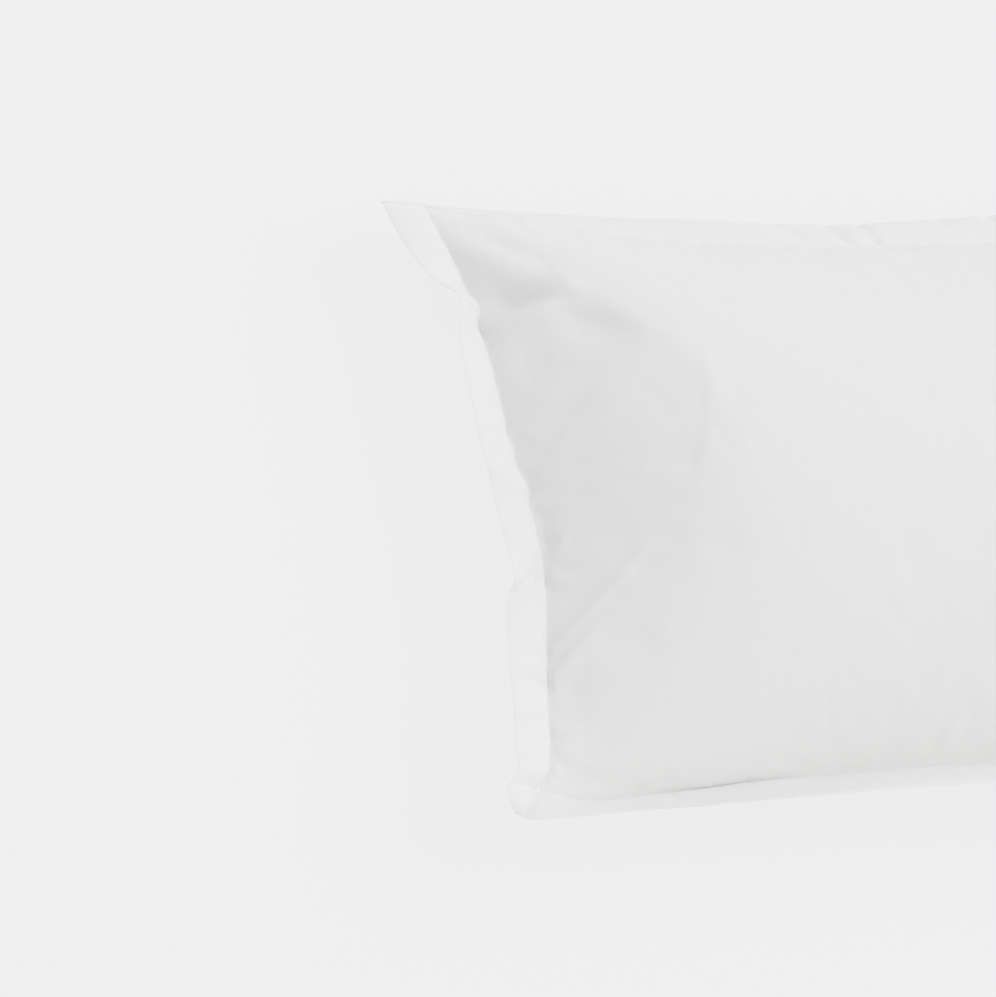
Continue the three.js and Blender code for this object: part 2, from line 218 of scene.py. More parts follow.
FLANGE_FOLDS = (
    Fold(start=(-366, -2), end=(-426, 15), left=13, right=9, height=4.5),
    Fold(start=(-370, -48), end=(-428, -33), left=12, right=9, height=4),
    Fold(start=(-366, -62), end=(-426, -94), left=3.5, right=12, height=-6.5, peak=0.4),
    Fold(start=(-384, -80), end=(-452, -116), left=30, right=3, height=-1.6),
    Fold(start=(-398, -72), end=(-446, -97), left=3, right=14, height=3),
    Fold(start=(-374, -140), end=(-424, -143), left=4, right=6, height=-2),
    Fold(start=(-368, -173), end=(-424, -154), left=6, right=5, height=-3.2, peak=0.35),
    Fold(start=(-374, -187), end=(-432, -189), left=8, right=4, height=1.6),
    Fold(start=(-372, 158), end=(-446, 162), left=5, right=5, height=-3),
    Fold(start=(-372, -243), end=(-412, -298), left=10, right=3, height=-2.6, bow=-7),
    Fold(start=(-364, -241), end=(-460, -226), left=44, right=2.5, height=3),
    Fold(start=(-20, 250), end=(-54, 304), left=9, right=6, height=-1.6),
    Fold(start=(14, 250), end=(0, 304), left=3, right=9, height=-3.4),
    Fold(start=(42, 272), end=(32, 306), left=3, right=7, height=-3),
    Fold(start=(46, 246), end=(38, 274), left=7, right=3, height=-2.8),
    Fold(start=(122, 268), end=(110, 308), left=5, right=7, height=-0.9),
    Fold(start=(172, 268), end=(160, 308), left=3, right=9, height=-2.8),
    Fold(start=(-106, -250), end=(-90, -304), left=3, right=5, height=1.2),
    Fold(start=(-28, -250), end=(-8, -300), left=4, right=7, height=-1.2),
)

# Where puckers pull the left stitch line in (or let it out, where negative), and the cloth beside it.
Gather = namedtuple("Gather", "at_y half_width depth")
SEAM_GATHERS = (
    Gather(at_y=50, half_width=7, depth=-1.6),
    Gather(at_y=40, half_width=6, depth=1.4),
    Gather(at_y=27, half_width=8, depth=-2),
    Gather(at_y=4, half_width=8, depth=2),
    Gather(at_y=-9, half_width=6, depth=-1.2),
    Gather(at_y=-46, half_width=9, depth=1),
    Gather(at_y=-69, half_width=5, depth=1.4),
    Gather(at_y=-143, half_width=6, depth=1),
    Gather(at_y=-170, half_width=7, depth=1.2),
)
GATHER_REACH = 12 * MM  # to either side of the stitch line

# The cloth simulation that swells the pocket.
FILL_FRAMES = 24
CLOTH_SETTINGS = {
    "quality": 6,
    "mass": 0.2,
    "tension_stiffness": 30,
    "compression_stiffness": 30,
    "shear_stiffness": 12,
    "bending_stiffness": 1.5,
    "tension_damping": 20,
    "compression_damping": 20,
    "shear_damping": 20,
    "bending_damping": 2,
    "air_damping": 4,
    "pin_stiffness": 4,
}
SLACK_SWELL = 0.3  # share of the pressure where the ends are slack

# How firmly the simulation holds each part in its place, from 0 (free) to 1.
HELD_FLANGE = 0.9
HELD_SEAM = 0.85
HELD_FACE = 0.0
HELD_REST = 1.0  # where the back rests on the floor

# How the cloth is held at the stitch line, once the mesh is finer.
SEAM_CRISPNESS = 0.8  # of the stitch line, when the mesh is smoothed
SEAM_HOLD = 4 * MM  # from the stitch line to where a crease of the face has its full height
FLANGE_HOLD = 0.2  # share of the flange's width to where a fold of the flange has it
PAST_SEAM = 0.01  # share of the flange's width past which a point is on the flange
ON_SEAM = 0.99  # of the mark that the finer mesh carries on from the stitch line

# Small puckers that the stitching draws up, besides the listed creases: the least and the most.
PUCKER_SEED = 11
PUCKER_SPACING = (18, 44)
PUCKER_WIDTH = (2.5, 5.5)
PUCKER_LENGTH = (8, 26)
PUCKER_HEIGHT = (0.3, 1.1)
PUCKER_LEAN = (-0.5, 0.5)  # sideways, as a share of the way from the stitch line
PUCKER_ZONE = 60 * MM  # to either side of the stitch line, past which they have faded
PUCKER_FLANGE_FADE = 1.6  # times as fast across the flange as across the face

# One stitch, and how far its thread lies above the cloth.
STITCH_SIDES = 6
STITCH_RINGS = 4
THREAD_LIFT = 0.2  # share of its width

# The percale's slubs, as cells of noise for each metre along and across a yarn, and how far they take its
# roughness down and up.
SLUB_ALONG = 26.0
SLUB_ACROSS = 900.0
SMOOTHER_BY = 0.05
ROUGHER_BY = 0.07

# A Mix node's sockets for colours share their names with its others, so they go by number.
MIX_FACTOR = 0
MIX_FIRST = 6
MIX_SECOND = 7
MIX_RESULT = 2

SENSOR_WIDTH = 36  # of the camera, in millimetres


class ShamSizes(bpy.types.PropertyGroup):
    """The sizes that the sham is cut, sewn and filled to."""

    pocket_length: FloatProperty(
        name="Pocket length", description="Of the pocket, laid flat", default=0.762, unit="LENGTH"
    )
    pocket_width: FloatProperty(
        name="Pocket width", description="Of the pocket, laid flat", default=0.508, unit="LENGTH"
    )
    corner_spread_x: FloatProperty(
        name="Corner spread along",
        description="Between the stitch line's corners, once the fill has drawn them in",
        default=0.744,
        unit="LENGTH",
    )
    corner_spread_y: FloatProperty(
        name="Corner spread across",
        description="Between the stitch line's corners, once the fill has drawn them in",
        default=0.492,
        unit="LENGTH",
    )
    seam_height: FloatProperty(
        name="Seam height", description="Of the stitch line above the floor", default=0.08, unit="LENGTH"
    )
    front_crown: FloatProperty(
        name="Front crown", description="Of the face above the stitch line", default=0.088, unit="LENGTH"
    )
    back_sag: FloatProperty(
        name="Back sag",
        description="Of the back below the stitch line if no floor held it up",
        default=0.112,
        unit="LENGTH",
    )
    flange_width: FloatProperty(
        name="Flange width", description="From the stitch line to the edge", default=0.04, unit="LENGTH"
    )
    flange_thickness: FloatProperty(
        name="Flange thickness", description="Of its two layers", default=0.002, unit="LENGTH"
    )
    seam_thickness: FloatProperty(
        name="Seam thickness",
        description="Where the stitches hold the two layers together",
        default=0.001,
        unit="LENGTH",
    )
    fill: FloatProperty(
        name="Fill", description="From slack to tight", default=0.6, min=0.0, max=1.0, subtype="FACTOR"
    )
    pressure: FloatProperty(
        name="Pressure", description="That swells the pocket in the simulation", default=2.5, min=0.0
    )
    slack: FloatProperty(
        name="Slack", description="Spare length of the cloth", default=0.002, subtype="FACTOR"
    )
    most_swell: FloatProperty(
        name="Most swell",
        description="That a point may move in the simulation",
        default=0.0035,
        unit="LENGTH",
    )
    stitch_pitch: FloatProperty(
        name="Stitch pitch", description="From one stitch to the next", default=0.0032, unit="LENGTH"
    )
    stitch_length: FloatProperty(
        name="Stitch length", description="That shows of each stitch", default=0.0026, unit="LENGTH"
    )
    thread_width: FloatProperty(
        name="Thread width", description="Of the sewing thread", default=0.0004, unit="LENGTH"
    )


class ShamFinish(bpy.types.PropertyGroup):
    """The colours and the weave of the cloth and the thread."""

    cloth_colour: FloatVectorProperty(
        name="Cloth colour", description="Of the percale", default=(0.82, 0.82, 0.815), subtype="COLOR"
    )
    slub_colour: FloatVectorProperty(
        name="Slub colour",
        description="Of the percale's thicker threads",
        default=(0.79, 0.79, 0.785),
        subtype="COLOR",
    )
    thread_colour: FloatVectorProperty(
        name="Thread colour", description="Of the stitching", default=(0.81, 0.81, 0.805), subtype="COLOR"
    )
    yarn_pitch: FloatProperty(
        name="Yarn pitch",
        description="From one yarn to the next",
        default=0.0003,
        unit="LENGTH",
        precision=5,
    )
    cloth_roughness: FloatProperty(
        name="Cloth roughness", description="Of the percale", default=0.86, subtype="FACTOR"
    )


class ShamStudio(bpy.types.PropertyGroup):
    """The floor, the light and the camera."""

    floor_colour: FloatVectorProperty(
        name="Floor colour", description="Of the plain floor", default=(0.1, 0.1, 0.1), subtype="COLOR"
    )
    floor_glow: FloatProperty(
        name="Floor glow", description="Of the light that comes through the floor", default=0.765
    )
    floor_size: FloatProperty(name="Floor size", description="Of its side", default=24.0, unit="LENGTH")
    sky_strength: FloatProperty(
        name="Sky strength", description="Of the even light from all round", default=0.835
    )
    key_power: FloatProperty(
        name="Key power", description="Of the large soft lamp", default=560.0, unit="POWER"
    )
    key_size: FloatProperty(name="Key size", description="Of its side", default=10.8, unit="LENGTH")
    key_place: FloatVectorProperty(
        name="Key place",
        description="Of the large soft lamp",
        default=(9.4, 2.8, 11.0),
        subtype="TRANSLATION",
    )
    camera_yaw: FloatProperty(
        name="Camera yaw",
        description="From square on to the face, towards its left end",
        default=math.radians(28.0),
        unit="ROTATION",
    )
    camera_tip: FloatProperty(
        name="Camera tip",
        description="From square on to the face, towards its lower edge",
        default=math.radians(18.0),
        unit="ROTATION",
    )
    camera_roll: FloatProperty(
        name="Camera roll", description="About its own axis", default=math.radians(-10.4), unit="ROTATION"
    )
    camera_distance: FloatProperty(
        name="Camera distance", description="From its target", default=3.8, unit="LENGTH"
    )
    camera_target: FloatVectorProperty(
        name="Camera target",
        description="The point in the middle of the picture",
        default=(-0.365, -0.003, 0.08),
        subtype="TRANSLATION",
    )
    camera_lens: FloatProperty(name="Lens", description="Of the camera, in millimetres", default=176.6)


def side_value(rows, column, at):
    """One column of a side's rows, read as a smooth curve at any places along that side."""
    places = np.array([row.at for row in rows])
    values = np.array([getattr(row, column) for row in rows], dtype=float)
    slopes = np.diff(values) / np.diff(places)
    tangents = np.concatenate((slopes[:1], (slopes[:-1] + slopes[1:]) / 2, slopes[-1:]))
    i = np.clip(np.searchsorted(places, at) - 1, 0, len(places) - 2)
    span = places[i + 1] - places[i]
    p = (at - places[i]) / span
    start = values[i] * (2 * p**3 - 3 * p**2 + 1) + tangents[i] * span * (p**3 - 2 * p**2 + p)
    end = values[i + 1] * (3 * p**2 - 2 * p**3) + tangents[i + 1] * span * (p**3 - p**2)
    return start + end


def fold_height(fold, x, y):
    """A fold's height in metres: full at its peak, none at its ends and past its width."""
    start_x, start_y = fold.start
    end_x, end_y = fold.end
    run_x = (end_x - start_x) * MM
    run_y = (end_y - start_y) * MM
    length = math.hypot(run_x, run_y)
    off_x = x - start_x * MM
    off_y = y - start_y * MM
    along = np.clip((off_x * run_x + off_y * run_y) / length**2, 0, 1)
    sideways = (off_y * run_x - off_x * run_y) / length
    off_line = sideways - 4 * fold.bow * MM * along * (1 - along)
    width = np.where(off_line > 0, fold.left, fold.right) * MM
    rise = np.sin(math.pi * along ** (math.log(0.5) / math.log(fold.peak)))
    return fold.height * MM * rise * np.exp(-((off_line / width) ** 2))


def folds_height(folds, x, y):
    """The height of several folds together."""
    return sum(fold_height(fold, x, y) for fold in folds)


def grid_lines(pocket_cells):
    """The cloth's grid lines: their place across the pocket, -1 to 1, and their reach across the flange."""
    even = np.linspace(-1, 1, pocket_cells + 1)
    place = even + EDGE_CROWDING * (np.sin(even * math.pi / 2) - even)
    flange = np.array(FLANGE_LINES)
    edge = np.ones(len(flange))
    places = np.concatenate((-edge, place, edge))
    reaches = np.concatenate((flange[::-1], np.zeros(len(place)), flange))
    return places, reaches


def soft_lower(a, b):
    """The lower of two heights, with the ridge where they cross rounded off."""
    rounding = np.maximum(END_SLOPE_ROUNDING * (a + b), TINY)
    share = np.clip(0.5 + (b - a) / (2 * rounding), 0, 1)
    return b + (a - b) * share - rounding * share * (1 - share)


class ShamForm:
    """The filled sham's form, point by point, before its cloth is simulated."""

    def __init__(self, sizes):
        self.sizes = sizes
        across_place, across_reach = grid_lines(POCKET_COLUMNS)
        along_place, along_reach = grid_lines(POCKET_ROWS)
        self.u, self.v = np.meshgrid(across_place, along_place)
        self.across_reach, self.along_reach = np.meshgrid(across_reach, along_reach)
        self.reach = np.maximum(self.across_reach, self.along_reach)
        self.on_seam = (self.reach == 0) & (np.maximum(np.abs(self.u), np.abs(self.v)) == 1)
        self.columns = len(across_place) - 1
        self.rows = len(along_place) - 1
        self.middle = self.cloth_middle()
        normal = np.cross(np.gradient(self.middle, axis=1), np.gradient(self.middle, axis=0))
        self.normal = normal / np.linalg.norm(normal, axis=2, keepdims=True)
        self.dome = self.face_dome()
        self.slope = self.end_slope()
        self.front, self.back = self.layers()

    def corner_point(self, corner, u, v):
        """A corner of the stitch line. u and v are -1 or 1."""
        sizes = self.sizes
        return np.array(
            (
                u * sizes.corner_spread_x / 2 + corner.right * MM,
                v * sizes.corner_spread_y / 2 + corner.up * MM,
                sizes.seam_height + corner.lift * MM,
            )
        )

    def at_corner(self, column):
        """A column of the corner that each place is nearest to."""
        upper = np.where(self.u > 0, getattr(TOP_RIGHT, column), getattr(TOP_LEFT, column))
        lower = np.where(self.u > 0, getattr(BOTTOM_RIGHT, column), getattr(BOTTOM_LEFT, column))
        return np.where(self.v > 0, upper, lower)

    def seam_surface(self, u, v):
        """The surface that the stitch line spans."""
        s = ((u + 1) / 2)[..., None]
        t = ((v + 1) / 2)[..., None]
        lower_left = self.corner_point(BOTTOM_LEFT, -1, -1)
        lower_right = self.corner_point(BOTTOM_RIGHT, 1, -1)
        upper_left = self.corner_point(TOP_LEFT, -1, 1)
        upper_right = self.corner_point(TOP_RIGHT, 1, 1)
        lower = lower_left * (1 - s) + lower_right * s
        upper = upper_left * (1 - s) + upper_right * s
        surface = lower * (1 - t) + upper * t
        s, t = s[..., 0], t[..., 0]
        left = side_value(LEFT_SIDE, "draw_in", v) * (1 - s) ** DRAW_IN_FADE
        right = side_value(RIGHT_SIDE, "draw_in", v) * s**DRAW_IN_FADE
        bottom = side_value(BOTTOM_SIDE, "draw_in", u) * (1 - t) ** DRAW_IN_FADE
        top = side_value(TOP_SIDE, "draw_in", u) * t**DRAW_IN_FADE
        surface[..., 0] += (left - right) * MM
        surface[..., 1] += (bottom - top) * MM
        return surface

    def flange_offset(self, rows, at, outward, along, reach, twist=0, drawn=0):
        """The way from the stitch line out across the flange, laid down by a twist or drawn up."""
        bend = side_value(rows, "curl", at) * (reach - 1) / 2
        angle = np.radians(side_value(rows, "tilt", at) + bend - twist)
        slide = side_value(rows, "slide", at)
        out = (self.sizes.flange_width - drawn * reach) * reach
        return (
            np.array(outward) * (out * np.cos(angle))[..., None]
            + np.array((0, 0, 1)) * (out * np.sin(angle))[..., None]
            + np.array(along) * (slide * MM * reach)[..., None]
        )

    def edge_nips(self):
        """How far the lower flange's edge is drawn up, above each place along it."""
        x = self.u * self.sizes.pocket_length / 2
        drawn = np.zeros_like(x)
        for nip in EDGE_NIPS:
            off = x - nip.at_x * MM
            width = np.where(off < 0, nip.left, nip.right) * MM
            drawn += nip.depth * MM * np.exp(-((off / width) ** 2))
        return drawn

    def cloth_middle(self):
        """The middle of the cloth: inside the pocket the stitch line's surface, outside it the flange."""
        u, v = self.u, self.v
        diagonal = np.maximum(np.hypot(self.across_reach, self.along_reach), TINY)
        in_corner = np.minimum(self.across_reach, self.along_reach) > 0
        share = np.where(in_corner, 1 + (self.reach / diagonal - 1) * self.at_corner("rounding"), 1)
        across = self.across_reach * share
        along = self.along_reach * share
        twist = self.across_reach * self.at_corner("twist")
        tuck = self.across_reach * self.at_corner("tuck") * self.sizes.flange_width
        left = self.flange_offset(LEFT_SIDE, v, (-1, 0, 0), (0, 1, 0), across)
        right = self.flange_offset(RIGHT_SIDE, v, (1, 0, 0), (0, 1, 0), across)
        top = self.flange_offset(TOP_SIDE, u, (0, 1, 0), (1, 0, 0), along, twist, tuck)
        drawn = tuck + self.edge_nips()
        bottom = self.flange_offset(BOTTOM_SIDE, u, (0, -1, 0), (1, 0, 0), along, twist, drawn)
        ends = np.where((u > 0)[..., None], right, left)
        longs = np.where((v > 0)[..., None], top, bottom)
        return self.seam_surface(u, v) + ends + longs

    def crown(self, squareness, power):
        """A pillow's rounding: 1 in the middle of the pocket, 0 on the stitch line."""
        across = 1 - np.abs(self.u) ** squareness
        along = 1 - np.abs(self.v) ** CROWN_SQUARENESS_ALONG
        return across**CROWN_POWER * along**power

    def face_dome(self):
        """The height of the face's dome, which is flatter down its lower half."""
        upper_share = (1 + np.tanh(self.v / CROWN_BLEND)) / 2
        squareness = CROWN_SQUARENESS_LOW + (CROWN_SQUARENESS_ACROSS - CROWN_SQUARENESS_LOW) * upper_share
        power = CROWN_POWER_LOW + (CROWN_POWER - CROWN_POWER_LOW) * upper_share
        return self.sizes.front_crown * self.crown(squareness, power)

    def end_slope(self):
        """The height of the flat slopes at the two ends."""
        edge = np.ones_like(self.u)
        x = self.seam_surface(self.u, self.v)[..., 0]
        from_left = x - self.seam_surface(-edge, self.v)[..., 0]
        from_right = self.seam_surface(edge, self.v)[..., 0] - x
        left = side_value(LEFT_SIDE, "climb", self.v) * from_left / (1 + END_SLOPE_BEND * from_left)
        right = side_value(RIGHT_SIDE, "climb", self.v) * from_right / (1 + END_SLOPE_BEND * from_right)
        return soft_lower(left, right)

    def layers(self):
        """The points of the face and of the back."""
        sizes = self.sizes
        in_pocket = self.reach == 0
        thicker = sizes.flange_thickness - sizes.seam_thickness
        half = (sizes.seam_thickness + thicker * self.reach**0.5) / 2
        half *= 1 - RIM_TAPER * np.clip((self.reach - RIM_START) / (1 - RIM_START), 0, 1) ** 2
        offset = self.normal * half[..., None]
        front = self.middle + offset
        back = self.middle - offset
        height = soft_lower(self.dome, self.slope)
        folds = folds_height(FACE_FOLDS, self.middle[..., 0], self.middle[..., 1])
        height = np.maximum(height + folds * np.minimum(1, height / FOLD_FADE_HEIGHT), 0)
        front[..., 2] += np.where(in_pocket, height, 0)
        rolled = side_value(BOTTOM_SIDE, "roll", self.u) * MM * ((1 - self.v) / 2) ** ROLL_FADE
        share = height / ROLL_HEIGHT * np.exp(1 - height / ROLL_HEIGHT)
        front[..., 1] -= np.where(in_pocket, rolled * share, 0)
        sag = sizes.back_sag * self.crown(BACK_SQUARENESS_ACROSS, CROWN_POWER)
        back[..., 2] -= np.where(in_pocket, sag, 0)
        lowest = np.where(in_pocket, 0, FLANGE_CLEARANCE)
        front[..., 2] = np.maximum(front[..., 2], lowest + np.where(in_pocket, 0, half))
        back[..., 2] = np.maximum(back[..., 2], lowest - np.where(in_pocket, 0, half))
        # The origin is on the floor, under the middle of the outline.
        both = np.concatenate((front.reshape(-1, 3), back.reshape(-1, 3)))
        centre = (both.min(axis=0) + both.max(axis=0)) / 2
        centre[2] = 0
        return front - centre, back - centre

    def pattern(self):
        """Where each point lies on the flat pattern."""
        sizes = self.sizes
        across = self.u * sizes.pocket_length / 2 + np.sign(self.u) * self.across_reach * sizes.flange_width
        along = self.v * sizes.pocket_width / 2 + np.sign(self.v) * self.along_reach * sizes.flange_width
        return np.stack((across, along, np.zeros_like(across)), axis=2)


def new_piece(name, mesh, material):
    """An object for a mesh, in the scene, that rides on the part's one body."""
    piece = bpy.data.objects.new(name, mesh)
    bpy.context.scene.collection.objects.link(piece)
    mesh.materials.append(material)
    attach(piece, BODY)
    return piece


def mesh_from(bm, name):
    """A mesh of what the bmesh holds. The bmesh is let go."""
    mesh = bpy.data.meshes.new(name)
    bm.to_mesh(mesh)
    bm.free()
    return mesh


def read_points(mesh):
    """The mesh's vertices as an array."""
    points = np.empty(len(mesh.vertices) * 3)
    mesh.vertices.foreach_get("co", points)
    return points.reshape(-1, 3)


def write_points(mesh, points):
    """Moves the mesh's vertices."""
    mesh.vertices.foreach_set("co", np.ascontiguousarray(points, dtype=np.float32).ravel())
    mesh.update()


def read_normals(mesh):
    """The normals of the mesh's vertices as an array."""
    normals = np.empty(len(mesh.vertices) * 3)
    mesh.vertex_normals.foreach_get("vector", normals)
    return normals.reshape(-1, 3)


def read_edges(mesh):
    """The two vertices of each of the mesh's edges as an array."""
    ends = np.empty(len(mesh.edges) * 2, dtype=int)
    mesh.edges.foreach_get("vertices", ends)
    return ends.reshape(-1, 2)


def read_attribute(mesh, name, width=1):
    """A point attribute of the mesh as an array."""
    values = np.empty(len(mesh.vertices) * width)
    mesh.attributes[name].data.foreach_get("vector" if width == 3 else "value", values)
    return values.reshape(-1, width) if width > 1 else values


def write_attribute(mesh, name, values):
    """Keeps an array as a point attribute of the mesh, which subdivision carries along."""
    wide = values.ndim > 1
    made = mesh.attributes.new(name, "FLOAT_VECTOR" if wide else "FLOAT", "POINT")
    made.data.foreach_set("vector" if wide else "value", values.astype(np.float32).ravel())


def sort_by_vertices(bm):
    """Puts the edges and faces in a set order, because an extrusion leaves them in another one each run."""
    bm.verts.index_update()
    most_sum = 4 * len(bm.verts)  # of the vertex numbers of a face

    def order(item):
        numbers = [vert.index for vert in item.verts]
        return min(numbers) * most_sum + sum(numbers)

    bm.edges.sort(key=order)
    bm.faces.sort(key=order)


def two_layers(columns, rows):
    """A mesh of a face and a back, joined round their edge, and each vertex's column, row and layer."""
    bm = bmesh.new()
    bmesh.ops.create_grid(bm, x_segments=columns, y_segments=rows, size=0.5)
    made = bmesh.ops.extrude_face_region(bm, geom=bm.faces[:], use_keep_orig=True)
    back = [item for item in made["geom"] if isinstance(item, bmesh.types.BMVert)]
    bmesh.ops.translate(bm, verts=back, vec=(0, 0, -1))
    bmesh.ops.recalc_face_normals(bm, faces=bm.faces[:])
    sort_by_vertices(bm)
    mesh = mesh_from(bm, "sham_cloth")
    at = read_points(mesh)
    column = np.rint((at[:, 0] + 0.5) * columns).astype(int)
    row = np.rint((at[:, 1] + 0.5) * rows).astype(int)
    layer = np.where(at[:, 2] < -0.5, -1, 1)
    return mesh, column, row, layer


def add_pattern_map(mesh, pattern, layer, sizes):
    """A UV map of the flat pattern in metres, the back panel laid a flange's width past the front."""
    back_shift = sizes.pocket_width + 3 * sizes.flange_width
    corners = np.empty(len(mesh.loops), dtype=int)
    mesh.loops.foreach_get("vertex_index", corners)
    places = pattern[:, :2].copy()
    places[:, 1] += np.where(layer < 0, back_shift, 0)
    made = mesh.uv_layers.new(name="pattern")
    made.uv.foreach_set("vector", places[corners].astype(np.float32).ravel())


def crease_seam(mesh, on_seam):
    """Keeps the stitch line crisp when the mesh is smoothed."""
    sharp = on_seam[read_edges(mesh)].all(axis=1) * SEAM_CRISPNESS
    made = mesh.attributes.new("crease_edge", "FLOAT", "EDGE")
    made.data.foreach_set("value", sharp.astype(np.float32))


def weight_group(piece, name, weights):
    """A vertex group with the given weights."""
    group = piece.vertex_groups.new(name=name)
    for index, weight in enumerate(weights.tolist()):
        group.add((index,), weight, "REPLACE")
    return group.name


def simulated(piece, sizes, held, pressed):
    """Where each point comes to lie in a cloth simulation with pressure in the pocket."""
    cloth = piece.modifiers.new("Fill", "CLOTH")
    settings = cloth.settings
    for name, value in CLOTH_SETTINGS.items():
        setattr(settings, name, value)
    settings.shrink_min = -sizes.slack
    settings.use_pressure = True
    settings.uniform_pressure_force = sizes.pressure
    settings.vertex_group_pressure = weight_group(piece, "pressed", pressed)
    settings.vertex_group_mass = weight_group(piece, "held", held)
    settings.effector_weights.gravity = 0
    cloth.collision_settings.use_collision = False
    cloth.collision_settings.use_self_collision = False
    cloth.point_cache.frame_start = 1
    cloth.point_cache.frame_end = FILL_FRAMES
    scene = bpy.context.scene
    for number in range(1, FILL_FRAMES + 1):
        scene.frame_set(number)
    swollen = piece.evaluated_get(bpy.context.evaluated_depsgraph_get())
    settled = read_points(swollen.data)
    piece.modifiers.remove(cloth)
    piece.vertex_groups.clear()
    scene.frame_set(1)
    return settled


def filled(piece, form, start, column, row, layer):
    """Where each point lies once the pocket is filled: the simulation's moves, none of them too long."""
    sizes = form.sizes
    reach = form.reach[row, column]
    on_seam = form.on_seam[row, column]
    resting = (layer < 0) & (start[:, 2] < MM)
    held = np.full(len(layer), HELD_FACE)
    held[reach > 0] = HELD_FLANGE
    held[on_seam] = HELD_SEAM
    held[resting] = HELD_REST
    slack_end = (form.slope < form.dome)[row, column] & (layer > 0)
    pressed = np.where(slack_end, SLACK_SWELL, 1.0)
    pressed[(reach > 0) | resting] = 0.0
    move = simulated(piece, sizes, held, pressed) - start
    # The two layers of the flange move as one.
    twin = np.zeros((2, form.rows + 1, form.columns + 1, 3))
    twin[(layer + 1) // 2, row, column] = move
    shared = twin.mean(axis=0)[row, column]
    together = (reach > 0) | on_seam
    move[together] = shared[together]
    length = np.maximum(np.linalg.norm(move, axis=1, keepdims=True), TINY)
    move *= sizes.most_swell * np.tanh(length / sizes.most_swell) / length
    swollen = start + move
    swollen[:, 2] = np.maximum(swollen[:, 2], 0)
    return swollen


def subdivided(piece):
    """The piece's mesh with each cell divided once and smoothed."""
    smooth = piece.modifiers.new("Smooth", "SUBSURF")
    smooth.levels = 1
    smooth.render_levels = 1
    smooth.uv_smooth = "NONE"
    mesh = bpy.data.meshes.new_from_object(piece.evaluated_get(bpy.context.evaluated_depsgraph_get()))
    piece.modifiers.remove(smooth)
    return mesh


def seam_puckers(pattern, sizes):
    """The height of the small puckers along the stitch line, the same on each run."""
    dice = random.Random(PUCKER_SEED)
    half_x = sizes.pocket_length / 2
    half_y = sizes.pocket_width / 2
    x, y = pattern[:, 0], pattern[:, 1]
    height = np.zeros(len(pattern))
    for along, inside, half in (
        (y, x + half_x, half_y),
        (y, half_x - x, half_y),
        (x, y + half_y, half_x),
        (x, half_y - y, half_x),
    ):
        near = np.abs(inside) < PUCKER_ZONE
        away = np.where(inside > 0, inside, -PUCKER_FLANGE_FADE * inside)[near]
        at = -half + dice.uniform(*PUCKER_SPACING) * MM
        while at < half:
            width = dice.uniform(*PUCKER_WIDTH) * MM
            length = dice.uniform(*PUCKER_LENGTH) * MM
            rise = dice.uniform(*PUCKER_HEIGHT) * MM * dice.choice((-1, 1))
            lean = dice.uniform(*PUCKER_LEAN)
            off = along[near] - at - lean * inside[near]
            height[near] += rise * np.exp(-((off / width) ** 2)) * np.exp(-away / length)
            at += dice.uniform(*PUCKER_SPACING) * MM
    return height


def seam_pull(pattern, sizes):
    """How far the gathers move each point of the cloth along the width."""
    from_seam = pattern[:, 0] + sizes.pocket_length / 2
    pull = np.zeros(len(pattern))
    for gather in SEAM_GATHERS:
        off = (pattern[:, 1] - gather.at_y * MM) / (gather.half_width * MM)
        pull += gather.depth * MM * np.exp(-(off**2))
    return pull * np.exp(-((from_seam / GATHER_REACH) ** 2))


def add_creases(mesh, sizes):
    """Raises the creases and the puckers out of the cloth, and gathers it at the stitch line."""
    points = read_points(mesh)
    normals = read_normals(mesh)
    layer = read_attribute(mesh, "layer")
    reach = read_attribute(mesh, "reach")
    pattern = read_attribute(mesh, "pattern_place", 3)
    inside = np.minimum(
        sizes.pocket_length / 2 - np.abs(pattern[:, 0]), sizes.pocket_width / 2 - np.abs(pattern[:, 1])
    )
    on_face = (layer > 0) * np.clip(inside / SEAM_HOLD, 0, 1)
    on_flange = np.clip(reach / FLANGE_HOLD, 0, 1)
    puckers = seam_puckers(pattern, sizes)
    past_seam = reach > PAST_SEAM
    face = folds_height(FACE_CREASES, points[:, 0], points[:, 1]) * on_face
    face += puckers * ((layer > 0) & ~past_seam)
    # The flange's layers and its rim move as one, along the normal of the cloth between them.
    flange = folds_height(FLANGE_FOLDS, pattern[:, 0], pattern[:, 1]) * on_flange + puckers * past_seam
    cloth_normal = read_attribute(mesh, "cloth_normal", 3)
    points[:, 0] += seam_pull(pattern, sizes)
    write_points(mesh, points + normals * face[:, None] + cloth_normal * flange[:, None])


def sharpen_rim(mesh):
    """Keeps the shading of the flange's edge from running over into its two sides."""
    on_rim = read_attribute(mesh, "reach")[read_edges(mesh)].min(axis=1) > RIM_SHARP
    mesh.edges.foreach_set("use_edge_sharp", on_rim)


def smooth_shaded(mesh):
    """Shades all faces of the mesh smooth."""
    mesh.polygons.foreach_set("use_smooth", np.ones(len(mesh.polygons), dtype=bool))
    mesh.update()


def add_node(tree, kind, inputs=None, **settings):
    """A node with its settings and its inputs' values."""
    made = tree.nodes.new(kind)
    for name, value in settings.items():
        setattr(made, name, value)
    for name, value in (inputs or {}).items():
        made.inputs[name].default_value = value
    return made


def new_material(name, inputs):
    """A material of one Principled shader, with its inputs' values."""
    material = bpy.data.materials.new(name)
    material.use_nodes = True
    tree = material.node_tree
    tree.nodes.clear()
    shader = add_node(tree, "ShaderNodeBsdfPrincipled", inputs)
    output = add_node(tree, "ShaderNodeOutputMaterial")
    tree.links.new(shader.outputs["BSDF"], output.inputs["Surface"])
    return material, tree, shader


